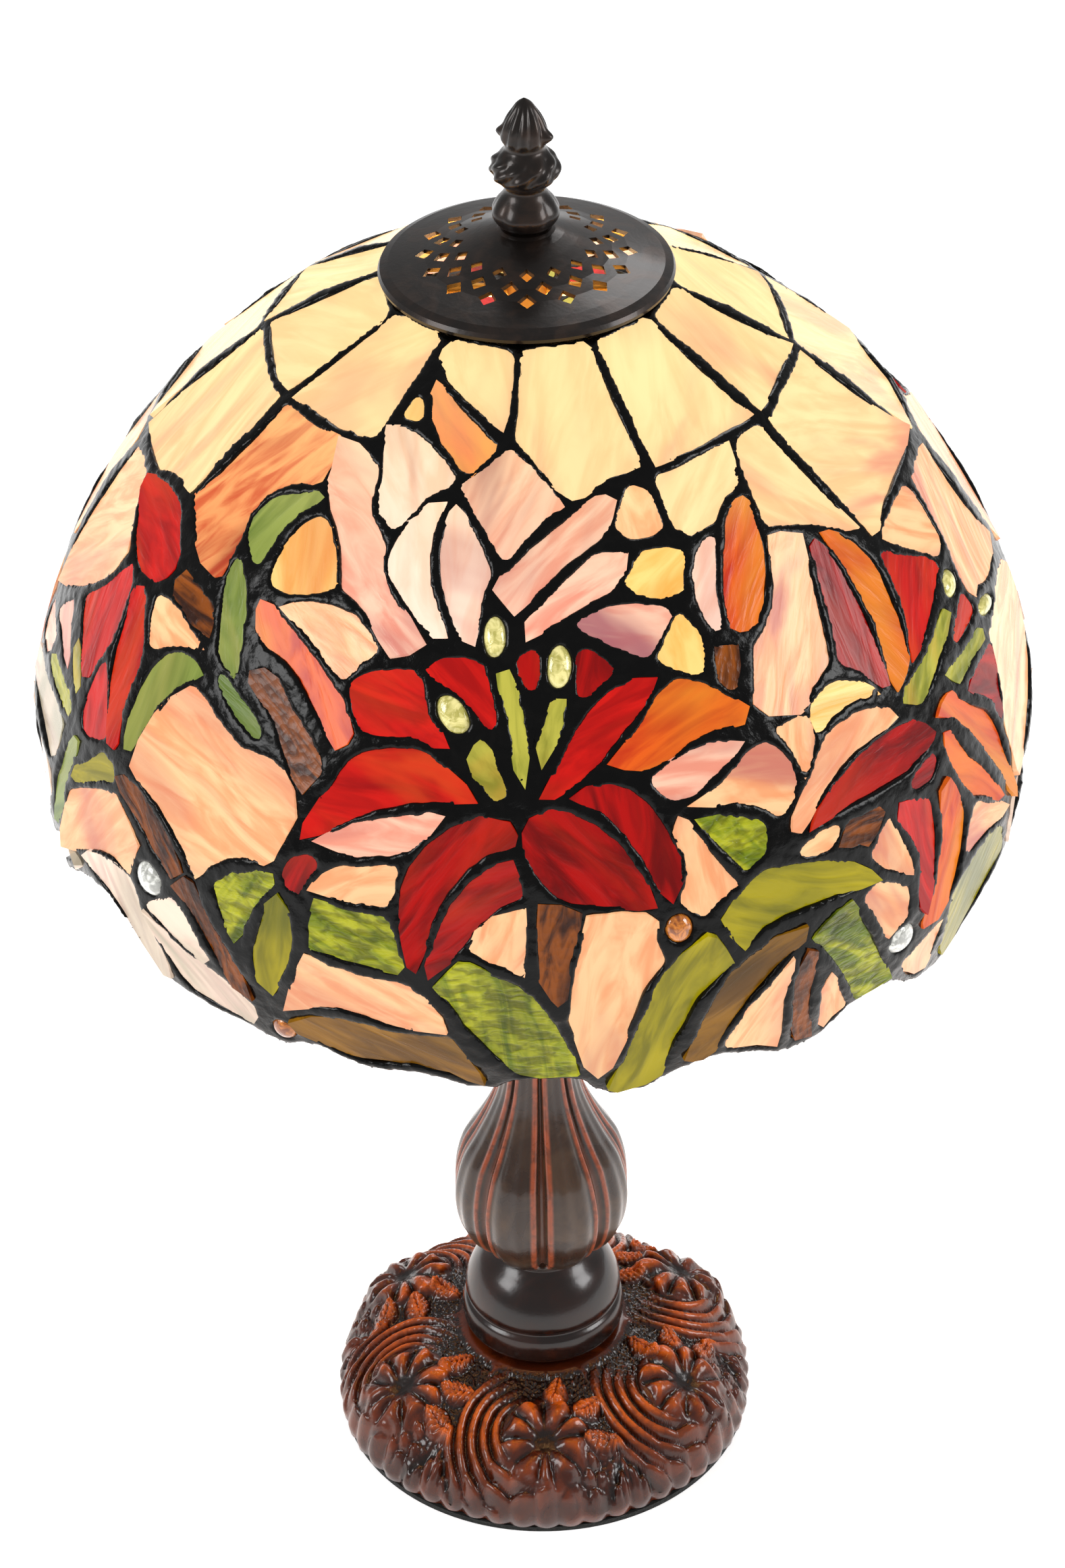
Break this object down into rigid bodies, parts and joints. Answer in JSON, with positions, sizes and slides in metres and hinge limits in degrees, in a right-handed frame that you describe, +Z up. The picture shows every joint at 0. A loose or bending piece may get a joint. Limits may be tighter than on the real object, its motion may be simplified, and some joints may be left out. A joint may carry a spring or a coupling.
{
  "type": "stained glass table lamp",
  "caption": "Table lamp with a leaded glass dome shade of lilies and leaves, held by a harp and finial above a fluted vase stem and a carved round base.",
  "frame": {"origin": "middle of the felt pad's underside, on the lamp's axis", "axes": "+Z up along the lamp pipe, -Y towards the front of the shade's design, +Y towards the cord inlet"},
  "size_m": [0.3072, 0.3076, 0.495],
  "materials": {
    "black_came": "black patina over lumpy solder, glossy",
    "cream_glass": "opalescent cream to yellow sheet glass, lit from inside",
    "peach_glass": "opalescent peach sheet glass with soft streaks",
    "pale_glass": "pale grey green opalescent sheet glass",
    "white_glass": "white opalescent sheet glass",
    "pink_glass": "pink and mauve streaky sheet glass",
    "red_glass": "red sheet glass with orange streaks",
    "dark_red_glass": "deep ruby sheet glass",
    "orange_glass": "orange and red streaky sheet glass",
    "yellow_glass": "amber yellow sheet glass",
    "leaf_glass": "yellow green streaky sheet glass",
    "rippled_glass": "moss green rippled glass",
    "brown_glass": "olive brown streaky sheet glass",
    "calyx_glass": "soft green opalescent glass",
    "bark_glass": "dark amber granite textured glass",
    "filament_glass": "lime green hammered glass",
    "amber_gem": "pressed amber glass cabochons",
    "streaky_glass": "peach sheet glass with red brown streaks",
    "clear_gem": "pressed clear glass jewels",
    "bronze": "dark antique bronze, rubbed bright on edges",
    "brass": "plain brass, slightly tarnished",
    "steel": "zinc plated steel",
    "copper": "copper coloured contact metal",
    "rubber": "black rubber",
    "phenolic": "black moulded insulator",
    "fibre": "brown fibre sleeve",
    "bulb_glass": "frosted lamp glass",
    "nickel": "threaded aluminium lamp base",
    "glazed_resin": "glazed brown and olive cast resin with reddish ribs",
    "dark_resin": "dark brown gloss cast resin",
    "carved_resin": "mahogany brown cast resin, bronze orange on raised work",
    "felt": "green felt"
  },
  "bodies": {
    "stand": {"harp": "brass", "harp_head": "brass", "harp_washer": "rubber", "harp_saddle": "brass", "saddle_nut": "brass", "socket_cap": "brass", "socket_shell": "brass", "socket_insulator": "phenolic", "socket_liner": "fibre", "screw_shell": "copper", "centre_contact": "copper", "check_ring": "bronze", "neck_tube": "bronze", "vase_stem": "glazed_resin", "collar": "dark_resin", "base_casting": "carved_resin", "lamp_pipe": "steel", "base_washer": "steel", "base_nut": "steel", "cord_bushing": "rubber", "felt_pad": "felt"},
    "shade": {"shade_came": "black_came", "crown_glass": "cream_glass", "field_glass": "peach_glass", "pale_field_glass": "pale_glass", "white_petal_glass": "white_glass", "pink_petal_glass": "pink_glass", "red_petal_glass": "red_glass", "dark_red_petal_glass": "dark_red_glass", "streaky_glass": "streaky_glass", "orange_petal_glass": "orange_glass", "yellow_petal_glass": "yellow_glass", "flame_bud_glass": "orange_glass", "leaf_glass": "leaf_glass", "rippled_leaf_glass": "rippled_glass", "brown_leaf_glass": "brown_glass", "calyx_glass": "calyx_glass", "bark_glass": "bark_glass", "filament_glass": "filament_glass", "anther_cabochons": "amber_gem", "clear_gems": "clear_gem", "coloured_gems": "amber_gem", "cap_ring": "brass", "shade_cap": "bronze"},
    "finial_insert": {"finial_insert": "brass"},
    "finial": {"finial": "bronze"},
    "ferrule_left": {"ferrule_left": "brass"},
    "ferrule_right": {"ferrule_right": "brass"},
    "bulb": {"bulb_glass": "bulb_glass", "bulb_base": "nickel", "bulb_stem": "bulb_glass"}
  },
  "joints": [
    {"name": "shade_turn", "type": "hinge", "parent": "stand", "child": "shade", "pos_m": [0, 0, 0.447], "axis": [0, 0, 1], "continuous": true},
    {"name": "finial_rise", "type": "slide", "parent": "stand", "child": "finial_insert", "axis": [0, 0, 1], "range_m": [0, 0.0094]},
    {"name": "finial_turn", "type": "hinge", "parent": "finial_insert", "child": "finial", "pos_m": [0, 0, 0.46], "axis": [0, 0, 1], "range_deg": [0, 3600]},
    {"name": "ferrule_left_slide", "type": "slide", "parent": "stand", "child": "ferrule_left", "axis": [0, 0, 1], "range_m": [0, 0.018]},
    {"name": "ferrule_right_slide", "type": "slide", "parent": "stand", "child": "ferrule_right", "axis": [0, 0, 1], "range_m": [0, 0.018]},
    {"name": "bulb_turn", "type": "hinge", "parent": "stand", "child": "bulb", "pos_m": [0, 0, 0.3], "axis": [0, 0, 1], "range_deg": [0, 1080]}
  ],
  "couplings": [
    {"joint": "finial_turn", "follows": "finial_rise", "rad_per_m": 6684.2}
  ]
}
